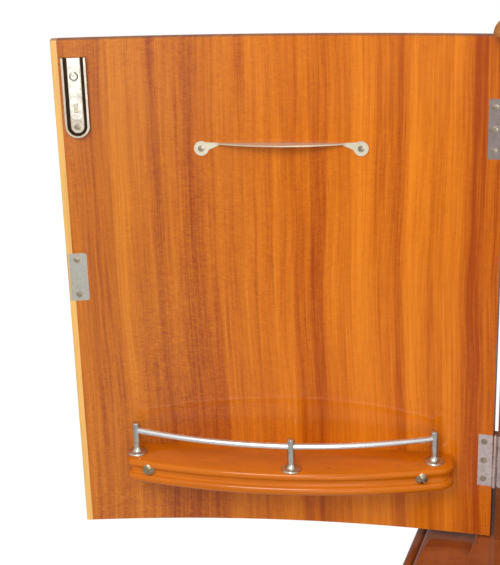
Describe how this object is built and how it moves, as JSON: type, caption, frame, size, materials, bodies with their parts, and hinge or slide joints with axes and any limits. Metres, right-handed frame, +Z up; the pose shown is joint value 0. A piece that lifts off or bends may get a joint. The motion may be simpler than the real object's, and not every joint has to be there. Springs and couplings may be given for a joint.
{
  "type": "cocktail cabinet",
  "caption": "Bow-fronted cocktail cabinet on a plinth: curved upper doors with railed bottle shelves, a mirrored upper case with a glass shelf, and a curved-door cupboard below.",
  "frame": {"origin": "on the floor, under the middle of the base slab and of the whole cabinet", "axes": "+X to the right as seen from the front, +Y to the back, +Z up"},
  "size_m": [1.8882, 0.5199, 1.353],
  "materials": {
    "door_veneer": "gloss-lacquered ribbon-figured veneer",
    "case_veneer": "gloss-lacquered veneer",
    "pale_lipping": "lacquered straight-grained timber",
    "shelf_wood": "gloss-lacquered solid timber",
    "plinth_wood": "dark stained timber",
    "inner_wood": "lacquered veneer",
    "rail_metal": "drawn rod, satin",
    "post_metal": "plated, slightly worn",
    "strip_metal": "satin",
    "hinge_metal": "plated, worn",
    "lock_metal": "plated, worn",
    "screw_metal": "plated, tarnished",
    "knob_metal": "polished",
    "glass": "polished edges",
    "mirror": "silvered"
  },
  "bodies": {
    "cabinet": {"plinth_front": "plinth_wood", "plinth_left": "plinth_wood", "plinth_right": "plinth_wood", "plinth_back": "plinth_wood", "lower_floor": "inner_wood", "lower_side_left": "case_veneer", "lower_side_right": "case_veneer", "lower_back": "inner_wood", "lower_shelf": "inner_wood", "shelf_pegs": "post_metal", "base_slab": "case_veneer", "step_board": "case_veneer", "upper_side_left": "case_veneer", "upper_side_right": "case_veneer", "upper_back": "inner_wood", "back_mirror": "mirror", "upper_top": "inner_wood", "top_slab": "case_veneer", "glass_shelf": "glass", "bolt_keeper": "lock_metal", "upper_case_leaves": "hinge_metal", "lower_case_leaves": "hinge_metal", "hinge_pins": "hinge_metal", "case_screws": "screw_metal"},
    "left_door": {"left_door": "door_veneer", "left_lipping": "pale_lipping", "left_door_leaves": "hinge_metal", "left_shelf": "shelf_wood", "left_rail_posts": "post_metal", "left_rail": "rail_metal", "left_shelf_screws": "screw_metal", "left_stick_strip": "strip_metal", "left_door_screws": "screw_metal", "strike_plate": "lock_metal", "bolt_plate": "lock_metal", "left_knob": "knob_metal"},
    "right_door": {"right_door": "door_veneer", "right_lipping": "pale_lipping", "right_door_leaves": "hinge_metal", "right_shelf": "shelf_wood", "right_rail_posts": "post_metal", "right_rail": "rail_metal", "right_shelf_screws": "screw_metal", "right_stick_strip": "strip_metal", "right_door_screws": "screw_metal", "lock_case": "lock_metal", "escutcheon": "lock_metal", "right_knob": "knob_metal"},
    "bolt_slide": {"bolt_slide": "lock_metal"},
    "lock_bolt": {"lock_bolt": "lock_metal"},
    "key": {"key": "lock_metal"},
    "lower_left_door": {"lower_left_door": "case_veneer", "lower_left_door_leaves": "hinge_metal", "lower_left_screws": "screw_metal", "lower_left_knob": "knob_metal"},
    "lower_right_door": {"lower_right_door": "case_veneer", "lower_right_door_leaves": "hinge_metal", "lower_right_screws": "screw_metal", "lower_right_knob": "knob_metal"}
  },
  "joints": [
    {"name": "left_door_hinge", "type": "hinge", "parent": "cabinet", "child": "left_door", "pos_m": [-0.47131, -0.03951, 1.046], "axis": [0, 0, 1], "range_deg": [-17, 159.4]},
    {"name": "right_door_hinge", "type": "hinge", "parent": "cabinet", "child": "right_door", "pos_m": [0.47131, -0.03951, 1.046], "axis": [0, 0, -1], "range_deg": [-17, 159.4]},
    {"name": "bolt_slide", "type": "slide", "parent": "left_door", "child": "bolt_slide", "axis": [0, 0, 1], "range_m": [0, 0.007]},
    {"name": "key_turn", "type": "hinge", "parent": "right_door", "child": "key", "pos_m": [0.9167, -0.10599, 1.0525], "axis": [0.3512, 0.9363, 0], "range_deg": [-8, 198]},
    {"name": "lock_bolt_slide", "type": "slide", "parent": "right_door", "child": "lock_bolt", "axis": [0.9363, -0.3512, 0], "range_m": [0, 0.008]},
    {"name": "lower_left_hinge", "type": "hinge", "parent": "cabinet", "child": "lower_left_door", "pos_m": [-0.53379, -0.12169, 0.405], "axis": [0, 0, -1], "range_deg": [0, 100]},
    {"name": "lower_right_hinge", "type": "hinge", "parent": "cabinet", "child": "lower_right_door", "pos_m": [0.53379, -0.12169, 0.405], "axis": [0, 0, 1], "range_deg": [0, 100]}
  ],
  "couplings": [
    {"joint": "key_turn", "follows": "lock_bolt_slide", "rad_per_m": 392.7}
  ]
}
